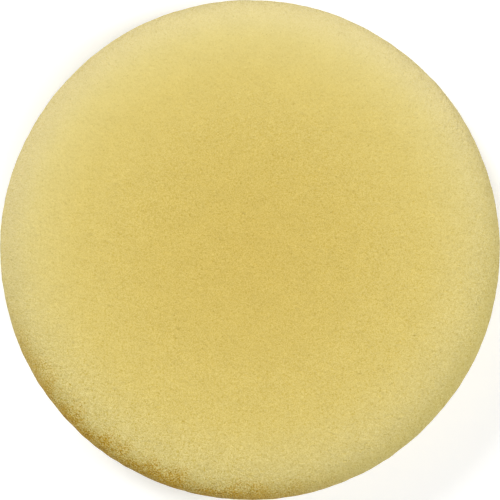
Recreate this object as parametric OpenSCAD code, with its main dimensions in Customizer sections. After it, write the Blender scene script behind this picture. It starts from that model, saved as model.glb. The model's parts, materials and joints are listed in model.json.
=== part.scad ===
// Round foam polishing pad with a hook-and-loop back.
// A block of open-cell foam is glued to a disc of loop fastener: loops, knitted ground cloth and resin coat.
// The origin is the centre of the loop face, and +Z points to the working face. Units are millimetres.

/* [Foam] */
// Diameter at the waist, the widest line of the foam
foam_d = 150; // [146:1:200]
// Height from the loop tips to the crown of the working face
pad_h = 30; // [24:1:45]
// Height of the waist above the loop tips
waist_z = 16; // [8:0.5:18]
// Flatness of the working face: 2 is a dome, and a higher value is flatter
face_power = 5; // [2:0.5:8]
// Squareness of the shoulder: 2 rolls over gently, and a higher value turns a tighter corner
shoulder_power = 3; // [2:0.5:5]
// Squareness of the edge below the waist: 2 is a round edge, and a higher value is a sharper one
side_power = 3; // [2:0.5:8]
// Diameter of the flat back, where the glue film lies
foam_back_d = 142; // [142:0.5:145]

/* [Loop backing] */
// Diameter of the loop disc
loop_d = 140; // [100:1:141]
// Height of the loops above their cloth
pile_h = 2; // [1:0.1:3]
// Thickness of the knitted ground cloth
cloth_t = 0.6; // [0.3:0.1:1]
// Thickness of the resin coat that locks the roots of the loops
coat_t = 0.2; // [0.1:0.05:0.4]
// Thickness of the glue film between the coat and the foam
film_t = 0.3; // [0.1:0.05:0.6]
// How far the glue film shows past the loop disc
film_lip = 0.5; // [0:0.1:0.5]

/* [Centring hole] */
// Diameter of the blind hole that centres the pad on its plate
hole_d = 20; // [10:1:40]
// Depth of the hole, from the loop tips
hole_depth = 15; // [6:1:18]

/* [Hidden] */
$fn = 128;
// Steps along the outline of the face and of the side
face_steps = 28;
side_steps = 12;
// How far a cutting tool runs past the face that it cuts
overcut = 1;

foam_r = foam_d / 2;
foam_back_r = foam_back_d / 2;

// Height of the lower side of each layer, from the floor up
cloth_z = pile_h;
coat_z = cloth_z + cloth_t;
film_z = coat_z + coat_t;
foam_z = film_z + film_t;

// Quarter of a rounded outline, from [0, height] to [width, 0], with its points crowded towards the end.
// It follows (x / width) ^ across + (y / height) ^ along = 1.
function quarter(width, height, across, along, steps) = [
    for (i = [0:steps])
        let (share = sin(90 * i / steps))
        [width * share, height * pow(max(0, 1 - pow(share, across)), 1 / along)]
];

// Half of the foam's section, without the hole: up the axis, over the face to the waist, and down the side
module foam_section() {
    face = quarter(foam_r, pad_h - waist_z, face_power, shoulder_power, face_steps);
    side = quarter(foam_r - foam_back_r, waist_z - foam_z, side_power, side_power, side_steps);
    polygon(concat(
        [[0, foam_z]],
        [for (p = face) [p.x, waist_z + p.y]],
        [for (i = [1:side_steps]) [foam_back_r + side[side_steps - i].x, waist_z - side[side_steps - i].y]]
    ));
}

// Tool that cuts the centring hole from below
module centring_hole() {
    translate([0, 0, -overcut]) cylinder(d = hole_d, h = hole_depth + overcut);
}

// One layer of the backing: a disc with the centring hole through it
module backing_layer(bottom_z, thickness, diameter) {
    difference() {
        translate([0, 0, bottom_z]) cylinder(d = diameter, h = thickness);
        centring_hole();
    }
}

// Open-cell polyurethane foam, rounded over at the working face
module foam_body() {
    color("#dcc16a") difference() {
        rotate_extrude() foam_section();
        centring_hole();
    }
}

// Hot-melt film that bonds the loop disc to the foam
module glue_film() {
    color("#c9a85a") backing_layer(film_z, film_t, loop_d + 2 * film_lip);
}

// Resin coat on the back of the ground cloth
module resin_coat() {
    color("#e4e0d2") backing_layer(coat_z, coat_t, loop_d);
}

// Warp-knitted nylon cloth that the loops stand on
module ground_cloth() {
    color("#eeece4") backing_layer(cloth_z, cloth_t, loop_d);
}

// Envelope of the raised loops that a plate's hooks grip
module loop_pile() {
    color("#f4f2ec") backing_layer(0, pile_h, loop_d);
}

foam_body();
glue_film();
resin_coat();
ground_cloth();
loop_pile();
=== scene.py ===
"""Looks of a foam polishing pad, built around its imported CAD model.

Lengths are in metres unless a comment says otherwise, and +Z points to the working face.
"""

import json
import math
from functools import cached_property

import bpy
import numpy as np
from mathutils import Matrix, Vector, kdtree, noise


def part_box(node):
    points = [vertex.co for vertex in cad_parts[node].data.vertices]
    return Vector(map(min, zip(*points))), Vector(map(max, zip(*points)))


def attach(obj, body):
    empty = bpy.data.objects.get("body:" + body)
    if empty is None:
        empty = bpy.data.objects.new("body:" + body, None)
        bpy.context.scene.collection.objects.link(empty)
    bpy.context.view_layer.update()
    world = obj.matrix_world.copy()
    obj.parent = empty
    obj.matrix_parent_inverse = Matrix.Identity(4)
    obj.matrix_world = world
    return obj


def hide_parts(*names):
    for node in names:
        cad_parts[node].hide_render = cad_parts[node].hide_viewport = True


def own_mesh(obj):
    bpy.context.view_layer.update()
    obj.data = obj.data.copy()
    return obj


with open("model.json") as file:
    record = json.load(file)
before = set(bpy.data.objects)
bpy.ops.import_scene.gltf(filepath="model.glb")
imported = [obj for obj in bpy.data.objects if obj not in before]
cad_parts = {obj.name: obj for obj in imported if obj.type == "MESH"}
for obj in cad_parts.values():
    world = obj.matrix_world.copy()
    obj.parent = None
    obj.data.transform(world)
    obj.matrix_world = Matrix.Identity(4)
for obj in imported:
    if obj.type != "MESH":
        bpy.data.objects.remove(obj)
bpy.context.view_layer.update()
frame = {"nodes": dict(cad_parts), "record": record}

MM = 0.001

# The foam's outline, as the CAD model has it. Its box gives the rest.
WAIST_Z = 16 * MM
BACK_R = 71 * MM
FACE_POWER = 5
SHOULDER_POWER = 3
SIDE_POWER = 3

foam_low, foam_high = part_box("foam_body")
glue_low, glue_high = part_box("glue_film")
cloth_low, cloth_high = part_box("ground_cloth")
loops_low, loops_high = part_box("loop_pile")
bore = next(m for m in frame["record"]["mounts"] if m["name"] == "centring_hole")
hole_r = bore["dims"]["r_mm"] * MM
hole_top = bore["dims"]["length_mm"] * MM


# ---------------------------------------------------------------- camera, light and floor

# Height of the camera above the loop tips
VIEW_DISTANCE = 0.8
# Half the width of the view at the waist, as a share of the pad's radius
VIEW_MARGIN = 1.003

# Name, azimuth and elevation in degrees, strength and colour of each light
LIGHTS = [
    ("upper_left", 135, 35, 2.24, (0.98, 0.99, 1.0)),
    ("right", 0, 35, 1.57, (0.98, 0.99, 1.0)),
    ("overhead", 270, 75, 1.11, (1.0, 0.98, 0.94)),
]
# Width of each light in degrees, as the pad sees it
LIGHT_WIDTH = 28
# Strength of the even light from all sides
AMBIENT = 0.12

FLOOR_HALF = 20.0
# Gap between the floor and the loop tips
FLOOR_GAP = 0.1 * MM
# Light that the floor adds towards the camera, so that it looks white
FLOOR_GLOW = 0.25


def add_camera():
    """A camera that looks straight down on the working face, which just fits the view."""
    data = bpy.data.cameras.new("camera")
    waist_distance = VIEW_DISTANCE - WAIST_Z
    data.lens = data.sensor_width / 2 * waist_distance / (foam_high.x * VIEW_MARGIN)
    camera = bpy.data.objects.new("camera", data)
    camera.location = (0, 0, VIEW_DISTANCE)
    bpy.context.scene.collection.objects.link(camera)
    bpy.context.scene.camera = camera


def add_light(name, azimuth, elevation, strength, colour):
    """A soft distant light. Azimuth 0 is +X and 90 is +Y."""
    data = bpy.data.lights.new(name, "SUN")
    data.angle = math.radians(LIGHT_WIDTH)
    data.energy = strength
    data.color = colour
    light = bpy.data.objects.new(name, data)
    across, up = math.radians(azimuth), math.radians(elevation)
    place = Vector((math.cos(across) * math.cos(up), math.sin(across) * math.cos(up), math.sin(up)))
    light.location = place
    light.rotation_mode = "QUATERNION"
    light.rotation_quaternion = place.to_track_quat("Z", "Y")
    bpy.context.scene.collection.objects.link(light)


def add_world():
    """A white backdrop, and a faint even light on everything."""
    world = bpy.data.worlds.new("studio")
    world.use_nodes = True
    tree = world.node_tree
    faint = tree.nodes["Background"]
    faint.inputs["Color"].default_value = (1, 1, 1, 1)
    faint.inputs["Strength"].default_value = AMBIENT
    backdrop = tree.nodes.new("ShaderNodeBackground")
    backdrop.inputs["Color"].default_value = (1, 1, 1, 1)
    path = tree.nodes.new("ShaderNodeLightPath")
    both = tree.nodes.new("ShaderNodeMixShader")
    tree.links.new(path.outputs["Is Camera Ray"], both.inputs[0])
    tree.links.new(faint.outputs[0], both.inputs[1])
    tree.links.new(backdrop.outputs[0], both.inputs[2])
    tree.links.new(both.outputs[0], tree.nodes["World Output"].inputs["Surface"])
    bpy.context.scene.world = world


def add_floor():
    """A pale floor just below the loop tips."""
    half = FLOOR_HALF
    height = loops_low.z - FLOOR_GAP
    corners = [(-half, -half, height), (half, -half, height), (half, half, height), (-half, half, height)]
    mesh = bpy.data.meshes.new("floor")
    mesh.from_pydata(corners, [], [(0, 1, 2, 3)])
    floor = bpy.data.objects.new("floor", mesh)
    bpy.context.scene.collection.objects.link(floor)
    tree = Nodes("floor_paint")
    tree.constants(Base_Color=(0.9, 0.9, 0.9, 1), Roughness=0.9, Emission_Color=(1, 1, 1, 1))
    path = tree.add("ShaderNodeLightPath").outputs["Is Camera Ray"]
    tree.connect(tree.product(path, FLOOR_GLOW), "Emission Strength")
    floor.data.materials.append(tree.material)


# ---------------------------------------------------------------- node trees

class Nodes:
    """A material's node tree around one Principled shader, with coordinates in millimetres.

    The coordinates are the object's own, or those that a mesh attribute named rest keeps.
    """

    def __init__(self, name, rest=None):
        self.rest = rest
        self.material = bpy.data.materials.new(name)
        self.material.use_nodes = True
        self.tree = self.material.node_tree
        self.surface = self.tree.nodes["Principled BSDF"]

    def add(self, kind, inputs=None, **settings):
        """Adds a node, with its inputs linked to sockets or set to values, and its settings."""
        node = self.tree.nodes.new(kind)
        for key, value in settings.items():
            setattr(node, key, value)
        for key, value in (inputs or {}).items():
            if isinstance(value, bpy.types.NodeSocket):
                self.tree.links.new(value, node.inputs[key])
            else:
                node.inputs[key].default_value = value
        return node

    @cached_property
    def place(self):
        """Coordinates in millimetres."""
        if self.rest is None:
            metres = self.add("ShaderNodeTexCoord").outputs["Object"]
        else:
            metres = self.add("ShaderNodeAttribute", attribute_name=self.rest).outputs["Vector"]
        scaled = self.add("ShaderNodeVectorMath", {0: metres, "Scale": 1 / MM}, operation="SCALE")
        return scaled.outputs["Vector"]

    def along(self, azimuth):
        """Distance in millimetres from the axis towards an azimuth in degrees, where 0 is +X and 90 is +Y."""
        turn = math.radians(azimuth)
        heading = (math.cos(turn), math.sin(turn), 0)
        node = self.add("ShaderNodeVectorMath", {0: self.place, 1: heading}, operation="DOT_PRODUCT")
        return node.outputs["Value"]

    def noise(self, pitch, detail=2.0):
        """Value from 0 to 1 of a noise whose features lie about pitch millimetres apart."""
        inputs = {"Vector": self.place, "Scale": 1 / pitch, "Detail": detail}
        return self.add("ShaderNodeTexNoise", inputs).outputs["Fac"]

    def cells(self, pitch):
        """Distance to the middle of the nearest of random cells, as a share of pitch.

        The cells lie about pitch millimetres apart.
        """
        inputs = {"Vector": self.place, "Scale": 1 / pitch}
        return self.add("ShaderNodeTexVoronoi", inputs).outputs["Distance"]

    def maths(self, operation, a, b=0.0):
        """Result of a Math node."""
        return self.add("ShaderNodeMath", {0: a, 1: b}, operation=operation).outputs[0]

    def product(self, first, *others):
        """Product of the values."""
        for other in others:
            first = self.maths("MULTIPLY", first, other)
        return first

    def total(self, first, *others):
        """Sum of the values."""
        for other in others:
            first = self.maths("ADD", first, other)
        return first

    def between(self, value, low, high, out_low=0.0, out_high=1.0):
        """Runs smoothly from out_low, where value is low or less, to out_high, where it is high or more."""
        inputs = {"Value": value, "From Min": low, "From Max": high, "To Min": out_low, "To Max": out_high}
        return self.add("ShaderNodeMapRange", inputs, interpolation_type="SMOOTHSTEP").outputs["Result"]

    def mix(self, share, a, b):
        """Colour a where share is 0 and colour b where it is 1."""
        node = self.add("ShaderNodeMix", data_type="RGBA")
        for index, value in ((0, share), (6, a), (7, b)):
            if isinstance(value, bpy.types.NodeSocket):
                self.tree.links.new(value, node.inputs[index])
            else:
                node.inputs[index].default_value = value if index == 0 else (*value, 1)
        return node.outputs[2]

    def ramp(self, value, stops):
        """Colour that runs smoothly through stops, each a place from 0 to 1 and its colour."""
        node = self.add("ShaderNodeValToRGB", {"Fac": value})
        band = node.color_ramp
        while len(band.elements) < len(stops):
            band.elements.new(0.5)
        for element, (place, colour) in zip(band.elements, stops):
            element.position = place
            element.color = (*colour, 1)
        return node.outputs["Color"]

    def vary(self, colour, amount, tint=(1, 1, 1)):
        """Colour times 1 + amount, where tint says how much of the change goes into red, green and blue."""
        change = self.add("ShaderNodeVectorMath", {0: tint, "Scale": amount}, operation="SCALE")
        inputs = {0: colour, 1: change.outputs["Vector"], 2: colour}
        return self.add("ShaderNodeVectorMath", inputs, operation="MULTIPLY_ADD").outputs["Vector"]

    def bump(self, height, depth, strength=1.0, before=None):
        """Normal of a relief whose height of 1 stands depth metres proud. It adds to the normal before."""
        inputs = {"Height": height, "Distance": depth, "Strength": strength}
        if before is not None:
            inputs["Normal"] = before
        return self.add("ShaderNodeBump", inputs).outputs["Normal"]

    def connect(self, value, socket):
        """Links a value to one of the shader's sockets."""
        self.tree.links.new(value, self.surface.inputs[socket])

    def constants(self, **values):
        """Sets numbers and colours on the shader's own sockets, whose names have _ for a space."""
        for key, value in values.items():
            self.surface.inputs[key.replace("_", " ")].default_value = value


# ---------------------------------------------------------------- meshes

def add_piece(name, vertices, faces, body, slot, *nodes):
    """Makes a smooth-shaded piece that rides on a body and stands for CAD nodes."""
    mesh = bpy.data.meshes.new(name)
    mesh.from_pydata(vertices, [], faces)
    mesh.shade_smooth()
    mesh.validate()
    piece = bpy.data.objects.new(name, mesh)
    bpy.context.scene.collection.objects.link(piece)
    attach(piece, body)
    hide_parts(*nodes)
    return piece


def between_rings(first, first_count, second, second_count, first_lead=0.0, second_lead=0.0):
    """Triangles of the band between two rings of points.

    first and second are the rings' first points. A lead is how far a ring is turned, in its own steps.
    """
    faces = []
    a = b = 0
    while a < first_count or b < second_count:
        here, there = first + a % first_count, second + b % second_count
        nearer = (a + 1 + first_lead) * second_count <= (b + 1 + second_lead) * first_count
        if b == second_count or (a < first_count and nearer):
            a += 1
            faces.append((here, there, first + a % first_count))
        else:
            b += 1
            faces.append((here, there, second + b % second_count))
    return faces


def noise_at(points, pitch, shift=0.0):
    """Smooth noise from about -1 to 1 at each point, with features about pitch apart."""
    offset = Vector((shift, shift, shift))
    return np.array([noise.noise(Vector(p) / pitch + offset) for p in points])


# ---------------------------------------------------------------- foam

# The foam's mesh is made of rings of points, from the crown to the back edge.
FOAM_RINGS = 184
LEAST_IN_RING = 6
OUTLINE_POINTS = 600
# Distance between the points of a ring, as a share of the distance between rings
POINT_GAP = 1.12
# How far a point is shaken along and across its ring, as a share of the distance to the next one
SHAKE = 0.3
# Mesh attribute that keeps each point's place at rest, so that the look moves with the foam when pressed
REST = "rest_position"

# Least distance between open cells, their greatest depth on the face, and the greatest height of the webs
CELL_GAP = 0.95 * MM
CELL_DEPTH = 0.25 * MM
WEB_RISE = 0.04 * MM
# How many times deeper the cells are on the side, and the heights between which that changes
SIDE_DEPTH = 1.6
SIDE_FADE = (10 * MM, 18 * MM)
# Width of the strip along the back edge where the relief fades out
EDGE_FADE = 1.2 * MM

# Radius, as a share of the back's, and number of points of each ring on the flat back
BACK_RINGS = [(0.998, 360), (0.7, 120), (0.3, 96)]
# Rings of the hole's wall, points in each, points in the rings of its roof, and how uneven they are
HOLE_RINGS = 19
HOLE_POINTS = 96
ROOF_POINTS = range(78, 0, -6)
HOLE_ROUGH = 0.12 * MM

# Colour of the foam by its distance from the axis, as a share of the pad's radius
FOAM_COLOURS = [
    (0.00, (0.591, 0.442, 0.110)),
    (0.40, (0.607, 0.466, 0.125)),
    (0.70, (0.638, 0.506, 0.153)),
    (0.85, (0.658, 0.542, 0.197)),
    (0.92, (0.660, 0.552, 0.209)),
    (0.96, (0.646, 0.540, 0.191)),
    (1.00, (0.596, 0.500, 0.172)),
]
# Azimuth in degrees and colour of the painted sheen, a pale painted highlight on the lit side of the
# shoulder, and of the painted shade, an amber-brown darkening on its shaded side, and the colour of the dots
PAINTED_SHEEN_TOWARDS = 102
PAINTED_SHEEN_COLOUR = (0.69, 0.58, 0.27)
PAINTED_SHADE_TOWARDS = 243
PAINTED_SHADE_COLOUR = (0.49, 0.285, 0.010)
DOT_COLOUR = (0.30, 0.20, 0.03)
# Strength of the grain, and how much of it goes into red, green and blue: a dark speck is more amber
GRAIN = 0.138
GRAIN_TINT = (0.66, 0.90, 2.1)

# Lengths in the material are in millimetres. These are the distances between its features.
LARGE_CELLS = 0.8
SMALL_CELLS = 0.45
CELL_SIZES = 0.6
SPECKS = 0.28
FRAYS = 0.45
FUZZ = 0.5
DOTS = 2.6
PATCHES = 6.0
# Heights between which the painted sheen and the painted shade fade in, and between which the cells change
# from side to face
SHOULDER = (10.0, 19.0)
SIDE_TO_FACE = (10.0, 28.0)


def foam_outline():
    """Radius and height along the outside of the foam, from its crown over the waist to its back edge."""
    share = np.sin(np.linspace(0, math.pi / 2, OUTLINE_POINTS))
    face_r = foam_high.x * share
    face_z = WAIST_Z + (foam_high.z - WAIST_Z) * (1 - share ** FACE_POWER) ** (1 / SHOULDER_POWER)
    share = share[::-1][1:]
    side_r = BACK_R + (foam_high.x - BACK_R) * share
    side_z = WAIST_Z - (WAIST_Z - foam_low.z) * (1 - share ** SIDE_POWER) ** (1 / SIDE_POWER)
    return np.concatenate([face_r, side_r]), np.concatenate([face_z, side_z])


def foam_shell(random):
    """Points, outward normals, faces, arc lengths and ring sizes of the outside, in rings round the crown."""
    radius, height = foam_outline()
    along = np.concatenate([[0], np.cumsum(np.hypot(np.diff(radius), np.diff(height)))])
    step = along[-1] / FOAM_RINGS
    around = 2 * math.pi * np.interp(np.arange(FOAM_RINGS + 1) * step, along, radius)
    counts = np.maximum(around / (POINT_GAP * step), LEAST_IN_RING).astype(int)
    counts[0] = 1
    starts = np.cumsum(counts) - counts
    lead = random.random(FOAM_RINGS + 1)
    lead[[0, FOAM_RINGS]] = 0

    ring_of = np.repeat(np.arange(FOAM_RINGS + 1), counts)
    shake = SHAKE * ((ring_of > 0) & (ring_of < FOAM_RINGS))
    place = (ring_of + shake * random.uniform(-1, 1, len(ring_of))) * step
    order = np.arange(len(ring_of)) - starts[ring_of] + lead[ring_of]
    order += shake * random.uniform(-1, 1, len(ring_of))
    angle = 2 * math.pi * order / counts[ring_of]
    r = np.interp(place, along, radius)
    z = np.interp(place, along, height)
    slope_r = np.interp(place, along, np.gradient(radius, along))
    slope_z = np.interp(place, along, np.gradient(height, along))
    points = np.column_stack([r * np.cos(angle), r * np.sin(angle), z])
    normals = np.column_stack([-slope_z * np.cos(angle), -slope_z * np.sin(angle), slope_r])

    first_ring = int(counts[1])
    faces = [(0, 1 + i, 1 + (i + 1) % first_ring) for i in range(first_ring)]
    for k in range(1, FOAM_RINGS):
        here, there = int(starts[k]), int(starts[k + 1])
        faces += between_rings(here, int(counts[k]), there, int(counts[k + 1]), lead[k], lead[k + 1])
    return points, normals, faces, place, counts


def open_cells(points, random):
    """Marks the points that become bottoms of open cells, chosen in random order at least CELL_GAP apart."""
    places = kdtree.KDTree(len(points))
    for index, point in enumerate(points):
        places.insert(point, index)
    places.balance()
    free = np.ones(len(points), bool)
    cell = np.zeros(len(points), bool)
    for index in random.permutation(len(points)):
        if free[index]:
            cell[index] = True
            free[[found[1] for found in places.find_range(points[index], CELL_GAP)]] = False
    return cell


def foam_relief(points, normals, place, random):
    """How far each point of the outside stands proud: slight waves, a rougher side, and open cells."""
    cell = open_cells(points, random)
    steep = np.clip(1 - normals[:, 2], 0, 1)
    relief = 0.18 * MM * noise_at(points, 26 * MM)
    relief += (0.03 + 0.12 * steep) * MM * noise_at(points, 3.6 * MM, 7.0)
    depth = random.uniform(0.4, 1.0, len(points)) * np.interp(points[:, 2], SIDE_FADE, (SIDE_DEPTH, 1.0))
    relief += np.where(cell, -CELL_DEPTH * depth, WEB_RISE * random.uniform(-0.4, 1.0, len(points)))
    return relief * np.clip((place[-1] - place) / EDGE_FADE, 0, 1)


def foam_back(first, first_count, random):
    """Points and faces of the flat back, and of the blind hole's wall and roof.

    They go inwards from the last ring of the outside, which has first_count points from index first on.
    """
    rings = [(share * BACK_R, foam_low.z, count) for share, count in BACK_RINGS]
    rings += [(hole_r, z, HOLE_POINTS) for z in np.linspace(foam_low.z, hole_top, HOLE_RINGS)]
    roof = np.linspace(hole_r, 0, len(ROOF_POINTS) + 2)[1:-1]
    rings += [(r, hole_top, count) for r, count in zip(roof, ROOF_POINTS)]
    parts = []
    faces = []
    total = first + first_count
    for r, z, count in rings:
        angle = 2 * math.pi * np.arange(count) / count
        rough = np.zeros(count)
        if z > foam_low.z:
            rough = HOLE_ROUGH * random.uniform(-1, 1, count)
        across = np.full(count, r) + (rough if z < hole_top else 0)
        level = np.full(count, z) + (rough if r < hole_r else 0)
        parts.append(np.column_stack([across * np.cos(angle), across * np.sin(angle), level]))
        faces += between_rings(first, first_count, total, count)
        first, first_count = total, count
        total += count
    parts.append(np.array([[0, 0, hole_top]]))
    faces += [(first + i, total, first + (i + 1) % first_count) for i in range(first_count)]
    return np.concatenate(parts), faces


def add_foam():
    """The foam block: a rounded face and side with open cells, a flat back and the blind centring hole."""
    random = np.random.default_rng(11)
    points, normals, faces, place, counts = foam_shell(random)
    points = points + normals * foam_relief(points, normals, place, random)[:, None]
    last_count = int(counts[-1])
    back_points, back_faces = foam_back(len(points) - last_count, last_count, random)
    points = np.concatenate([points, back_points])
    foam = add_piece("foam_pad", points, faces + back_faces, "foam", "foam", "foam_body")
    foam.data.attributes.new(REST, "FLOAT_VECTOR", "POINT").data.foreach_set("vector", points.ravel())
    foam.data.materials.append(foam_material())
    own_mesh(foam)


def foam_material():
    """Yellow open-cell foam: fine cut cells, with painted sheen on the lit side of the shoulder and painted
    shade on its shaded side.
    """
    tree = Nodes("foam", REST)
    parts = tree.add("ShaderNodeSeparateXYZ", {0: tree.place})
    height = parts.outputs["Z"]
    flat = tree.add("ShaderNodeCombineXYZ", {"X": parts.outputs["X"], "Y": parts.outputs["Y"]})
    radius = tree.add("ShaderNodeVectorMath", {0: flat.outputs[0]}, operation="LENGTH").outputs["Value"]
    pit = cell_pits(tree)
    tree.connect(foam_colour(tree, radius, height, pit), "Base Color")
    tree.connect(foam_normal(tree, radius, height, pit), "Normal")
    tree.constants(Sheen_Weight=0.15, Sheen_Roughness=0.6, Sheen_Tint=(0.95, 0.85, 0.5, 1))
    tree.constants(Roughness=1.0, Specular_IOR_Level=0.2)
    return tree.material


def cell_pits(tree):
    """Depth from 0 to 1 of the cut cells, large ones of varied size with small ones between them."""
    size = tree.between(tree.noise(CELL_SIZES, 0.0), 0.25, 0.75, -0.14, 0.14)
    large = tree.between(tree.total(tree.cells(LARGE_CELLS), size), 0.02, 0.55, 1.0, 0.0)
    small = tree.between(tree.cells(SMALL_CELLS), 0.05, 0.5, 0.6, 0.0)
    return tree.maths("MAXIMUM", large, small)


def foam_colour(tree, radius, height, pit):
    """Colour by distance from the axis, with the painted sheen, the painted shade, the grain with painted
    shade in the cell pits, slow patches and a few dots.
    """
    patches = tree.noise(PATCHES)
    shoulder = tree.between(height, *SHOULDER)
    # The shaded side of the shoulder, where shade is painted into the colour.
    shaded_side = tree.product(shoulder, tree.between(tree.along(PAINTED_SHADE_TOWARDS), 42.0, 72.0))
    painted_shade = painted_shade_share(tree, radius, shaded_side, patches)
    colour = tree.ramp(tree.maths("DIVIDE", radius, foam_high.x / MM), FOAM_COLOURS)
    # Painted sheen: a pale painted highlight on the lit side of the shoulder.
    colour = tree.mix(painted_sheen_share(tree, radius, shoulder), colour, PAINTED_SHEEN_COLOUR)
    # Painted shade: an amber-brown darkening on the shaded side of the shoulder.
    colour = tree.mix(painted_shade, colour, PAINTED_SHADE_COLOUR)

    speck = tree.between(tree.noise(SPECKS, 0.0), 0.2, 0.8, -GRAIN, GRAIN)
    # The cell pits are darker in colour, more so on the side: painted shade in the hollows.
    pit_shade = tree.product(pit, tree.between(height, *SIDE_TO_FACE, 0.38, 0.14))
    strength = grain_strength(tree, radius, height, shaded_side, painted_shade)
    grain = tree.product(tree.maths("SUBTRACT", speck, pit_shade), strength)
    colour = tree.vary(colour, grain, GRAIN_TINT)
    colour = tree.vary(colour, tree.between(patches, 0.3, 0.7, 0.006, 0.036))
    dots = tree.between(tree.cells(DOTS), 0.04, 0.09, 0.35, 0.0)
    return tree.mix(dots, colour, DOT_COLOUR)


def painted_sheen_share(tree, radius, shoulder):
    """Share of the painted sheen: a pale painted highlight on the lit side of the shoulder, which fades out
    round to the other side.
    """
    upper = tree.between(tree.along(PAINTED_SHEEN_TOWARDS), -45.0, 50.0)
    return tree.product(shoulder, upper, tree.between(radius, 62.0, 74.0))


def painted_shade_share(tree, radius, shaded_side, patches):
    """Share of the painted shade: an amber-brown darkening on the shaded side of the shoulder, whose inner
    edge is patchy and frayed.
    """
    uneven = tree.between(patches, 0.3, 0.7, -1.6, 1.6)
    frayed = tree.between(tree.noise(FRAYS, 1.0), 0.25, 0.75, -3.6, 3.6)
    edge = tree.total(radius, uneven, frayed)
    return tree.product(shaded_side, tree.between(edge, 68.5, 75.5))


def grain_strength(tree, radius, height, shaded_side, painted_shade):
    """Strength of the grain: 1 in the middle, less on the lit side of the shoulder, under the painted sheen,
    and more on its shaded side and under the painted shade, as painted light and shade on the relief.
    """
    outer = tree.between(radius, 20.0, 64.0)
    upper = tree.between(tree.along(PAINTED_SHEEN_TOWARDS), -40.0, 65.0)
    faint = tree.product(outer, upper, tree.between(height, 18.0, 27.0))
    coarse = tree.product(outer, shaded_side)
    return tree.total(1.0, tree.product(faint, -0.7), tree.product(coarse, 0.5), tree.product(painted_shade, 1.2))


def foam_normal(tree, radius, height, pit):
    """Fuzz that grows towards the edge, and cells that are deeper on the side than on the face."""
    fuzz = tree.bump(tree.noise(FUZZ, 1.0), 0.25 * MM, tree.between(radius, 60.0, 74.0, 0.4, 1.0))
    sink = tree.between(height, *SIDE_TO_FACE, 1.0, 0.3)
    return tree.bump(tree.maths("SUBTRACT", 1.0, pit), 0.2 * MM, sink, fuzz)


# ---------------------------------------------------------------- glue, resin and cloth

# Points in each ring of the glue's and the cloth's mesh, and rings across their upper and lower sides
GLUE_POINTS = 720
GLUE_RINGS = 8
CLOTH_POINTS = 480
CLOTH_RINGS = 24
# Steps of the glue's rounded edge
GLUE_STEPS = 8
# How far the edges of the glue and of the cloth run in and out, in broad waves and in finer ripples
GLUE_WAVES = 0.35 * MM
GLUE_RIPPLES = 0.15 * MM
CLOTH_WAVES = 0.25 * MM
# Height of the unevenness of the cloth's lower side
CLOTH_UNEVEN = 0.08 * MM
# Bevel of the cloth's edge, and the width of the strip that the heat of the cut has drawn in
CLOTH_BEVEL = 0.2 * MM
CUT_STRIP = 1.5 * MM
# Distances between the wales and between the courses of the knit, in millimetres
WALES = 0.45
COURSES = 0.35


def lathe(outline, count, change):
    """Closed band of quads: an outline of (radius, height) points turned round Z, and moved by change."""
    angle = 2 * math.pi * np.arange(count) / count
    r = np.array([p[0] for p in outline])[:, None]
    z = np.array([p[1] for p in outline])[:, None] + np.zeros(count)
    points = np.stack([r * np.cos(angle), r * np.sin(angle), z], axis=-1).reshape(-1, 3)
    rows = len(outline)
    faces = []
    for row in range(rows):
        here, there = row * count, (row + 1) % rows * count
        for i in range(count):
            j = (i + 1) % count
            faces.append((here + i, there + i, there + j, here + j))
    return change(points), faces


def add_glue():
    """Hot-melt film whose squeezed-out edge is rounded and uneven."""
    low, high, reach = glue_low.z, glue_high.z, glue_high.x
    middle, half = (low + high) / 2, (high - low) / 2
    across = np.linspace(hole_r, reach - 2 * half, GLUE_RINGS)
    outline = [(r, high) for r in across]
    for turn in np.linspace(math.pi / 2, -math.pi / 2, GLUE_STEPS + 1)[1:-1]:
        outline.append((reach - 2 * half + 2 * half * math.cos(turn), middle + half * math.sin(turn)))
    outline += [(r, low) for r in across[::-1]]

    def squeeze(points):
        edge = np.clip((np.hypot(points[:, 0], points[:, 1]) - reach + 3 * half) / (3 * half), 0, 1)
        spread = GLUE_WAVES * noise_at(points, 5 * MM) + GLUE_RIPPLES * noise_at(points, 1.7 * MM, 3.0)
        out = points.copy()
        out[:, :2] *= (1 + edge * spread / reach)[:, None]
        return out

    points, faces = lathe(outline, GLUE_POINTS, squeeze)
    glue = add_piece("glue_bead", points, faces, "backing", "glue", "glue_film")
    glue.data.materials.append(glue_material())


def glue_material():
    """Glossy amber hot melt."""
    tree = Nodes("glue")
    colour = tree.mix(tree.between(tree.noise(6.0), 0.3, 0.7), (0.50, 0.33, 0.09), (0.62, 0.45, 0.16))
    tree.connect(colour, "Base Color")
    tree.connect(tree.bump(tree.noise(1.2), 0.1 * MM), "Normal")
    tree.constants(Roughness=0.35, Specular_IOR_Level=0.5)
    return tree.material


def finish_resin():
    """The resin coat keeps its CAD shape and gets a brushed-on look."""
    tree = Nodes("resin")
    colour = tree.mix(tree.between(tree.noise(3.0), 0.3, 0.7), (0.66, 0.63, 0.52), (0.80, 0.77, 0.68))
    tree.connect(colour, "Base Color")
    tree.connect(tree.bump(tree.noise(0.8), 0.05 * MM), "Normal")
    tree.constants(Roughness=0.5)
    for slot in frame["nodes"]["resin_coat"].material_slots:
        slot.material = tree.material


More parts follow.
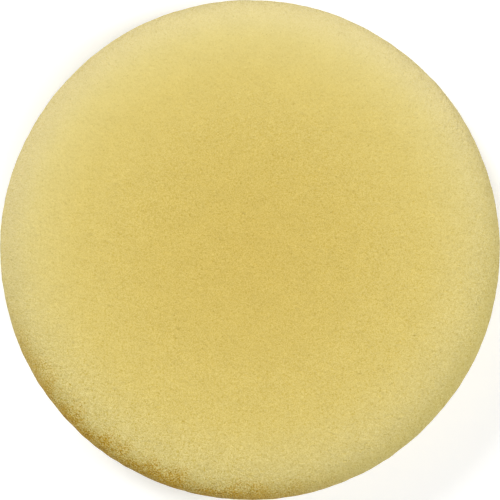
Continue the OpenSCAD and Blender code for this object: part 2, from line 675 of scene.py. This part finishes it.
def yarn_material(name, knitted):
    """Off-white nylon yarn, with the ribs of the knit and painted shade in the gaps between them, where it is
    the ground cloth.
    """
    tree = Nodes(name)
    colour = tree.mix(tree.between(tree.noise(7.0), 0.3, 0.7), (0.80, 0.79, 0.75), (0.88, 0.87, 0.84))
    colour = tree.mix(tree.between(tree.noise(0.35), 0.35, 0.75, 0.0, 0.5), colour, (0.70, 0.69, 0.65))
    height = tree.noise(0.2)
    if knitted:
        parts = tree.add("ShaderNodeSeparateXYZ", {0: tree.place})
        wale = tree.maths("SINE", tree.product(parts.outputs["X"], math.pi / WALES))
        course = tree.maths("SINE", tree.product(parts.outputs["Y"], math.pi / COURSES))
        rib = tree.product(tree.maths("ABSOLUTE", wale), tree.maths("ABSOLUTE", course))
        # Painted shade in the gaps between the knit's ribs.
        colour = tree.mix(tree.between(rib, 0.0, 0.7, 0.7, 0.0), colour, (0.45, 0.44, 0.40))
        height = tree.total(rib, tree.product(height, 0.3))
    tree.connect(colour, "Base Color")
    tree.connect(tree.bump(height, 0.1 * MM), "Normal")
    tree.constants(Roughness=0.8, Sheen_Weight=0.3, Sheen_Roughness=0.5)
    return tree.material


def add_cloth(loops):
    """Knitted ground cloth with a heat-cut edge. The argument loops, the pieces that stand on it, is not
    used.
    """
    low, high, reach = cloth_low.z, cloth_high.z, cloth_high.x
    across = np.linspace(hole_r, reach - CLOTH_BEVEL, CLOTH_RINGS)
    outline = [(r, high) for r in across]
    outline += [(reach, high - CLOTH_BEVEL), (reach, low + CLOTH_BEVEL)]
    outline += [(r, low) for r in across[::-1]]

    def cut(points):
        radius = np.hypot(points[:, 0], points[:, 1])
        edge = np.clip((radius - reach + CUT_STRIP) / CUT_STRIP, 0, 1)
        out = points.copy()
        out[:, :2] *= (1 + edge * CLOTH_WAVES * noise_at(points, 2.4 * MM) / reach)[:, None]
        under = points[:, 2] < (low + high) / 2
        out[:, 2] += under * (1 - edge) * CLOTH_UNEVEN * noise_at(points, 3 * MM, 5.0)
        return out

    points, faces = lathe(outline, CLOTH_POINTS, cut)
    cloth = add_piece("knit_cloth", points, faces, "backing", "loop_cloth", "ground_cloth")
    cloth.data.materials.append(yarn_material("knit", True))


# ---------------------------------------------------------------- loops

# Distance between the loops, pieces that they are shared out to, and points along a loop
LOOP_PITCH = 1.35 * MM
LOOP_PIECES = 4
LOOP_POINTS = 8
YARN_R = 0.10 * MM
YARN_SIDES = 3
# How far the loops stay inside the disc's edge and outside the hole
LOOP_MARGIN = 0.9 * MM
# How far the ends of the loops reach into the cloth
LOOP_ROOT = 0.15 * MM


def loop_roots(random):
    """Middles of the loops: a square grid, shaken a little, inside the disc and outside the hole."""
    reach = loops_high.x - LOOP_MARGIN
    steps = np.arange(-reach, reach, LOOP_PITCH)
    x, y = (v.ravel() for v in np.meshgrid(steps, steps))
    x = x + random.uniform(-0.35, 0.35, len(x)) * LOOP_PITCH
    y = y + random.uniform(-0.45, 0.45, len(y)) * LOOP_PITCH
    radius = np.hypot(x, y)
    kept = (radius < reach) & (radius > hole_r + LOOP_MARGIN)
    return np.column_stack([x[kept], y[kept]])


def loop_paths(roots, random):
    """Middle line of a leaning loop below each root, and the level direction square to each loop's plane."""
    count = len(roots)
    top = loops_high.z + LOOP_ROOT
    depth = (top - loops_low.z - YARN_R) * random.uniform(0.75, 1.0, count)[:, None]
    width = random.uniform(0.5, 0.8, count)[:, None] * MM
    facing = random.uniform(0, 2 * math.pi, count)
    lean = random.normal(0, 0.3, (count, 2)) * MM
    turn = np.linspace(0, math.pi, LOOP_POINTS)
    swell = np.sin(turn) ** 0.8
    across = width * np.cos(turn) * (0.55 + 0.6 * swell)
    side = np.column_stack([np.cos(facing), np.sin(facing)])
    path = np.empty((count, LOOP_POINTS, 3))
    path[..., :2] = roots[:, None] + across[..., None] * side[:, None] + swell[None, :, None] * lean[:, None]
    path[..., 2] = top - depth * swell
    return path, np.column_stack([-side[:, 1], side[:, 0], np.zeros(count)])


def yarn_tubes(path, square):
    """Points and faces of a closed tube of yarn along each path. square is square to the paths' planes."""
    along = np.gradient(path, axis=1)
    along /= np.linalg.norm(along, axis=2, keepdims=True)
    inward = np.cross(square[:, None] + np.zeros_like(path), along)
    inward /= np.linalg.norm(inward, axis=2, keepdims=True)
    flat = np.cross(along, inward)
    rings = []
    for turn in 2 * math.pi * np.arange(YARN_SIDES) / YARN_SIDES:
        rings.append(path + YARN_R * (math.cos(turn) * inward + math.sin(turn) * flat))
    points = np.stack(rings, axis=2).reshape(-1, 3)

    first = np.arange(len(path))[:, None, None] * LOOP_POINTS * YARN_SIDES
    here = first + np.arange(LOOP_POINTS - 1)[None, :, None] * YARN_SIDES
    corner = np.arange(YARN_SIDES)
    a = here + corner
    b = here + (corner + 1) % YARN_SIDES
    faces = np.stack([a, b, b + YARN_SIDES, a + YARN_SIDES], axis=-1).reshape(-1, 4).tolist()
    faces += (first[:, 0] + corner[::-1]).tolist()
    faces += (first[:, 0] + (LOOP_POINTS - 1) * YARN_SIDES + corner).tolist()
    return points, faces


def add_loops():
    """Raised loops of yarn in four pieces, one for each quarter of the disc."""
    random = np.random.default_rng(23)
    roots = loop_roots(random)
    quarter = (np.arctan2(roots[:, 1], roots[:, 0]) // (math.pi / 2)).astype(int) % LOOP_PIECES
    material = yarn_material("loops", False)
    pieces = []
    for index in range(LOOP_PIECES):
        points, faces = yarn_tubes(*loop_paths(roots[quarter == index], random))
        piece = add_piece(f"loop_field_{index}", points, faces, "backing", "loop_cloth", "loop_pile")
        piece.data.materials.append(material)
        pieces.append(piece)
    return pieces


# ---------------------------------------------------------------- scene

def set_view():
    """Shows colours as they are, with no film look."""
    view = bpy.context.scene.view_settings
    view.view_transform = "Standard"
    view.look = "None"


set_view()
add_camera()
add_world()
for light in LIGHTS:
    add_light(*light)
add_floor()
add_foam()
add_glue()
finish_resin()
add_cloth(add_loops())
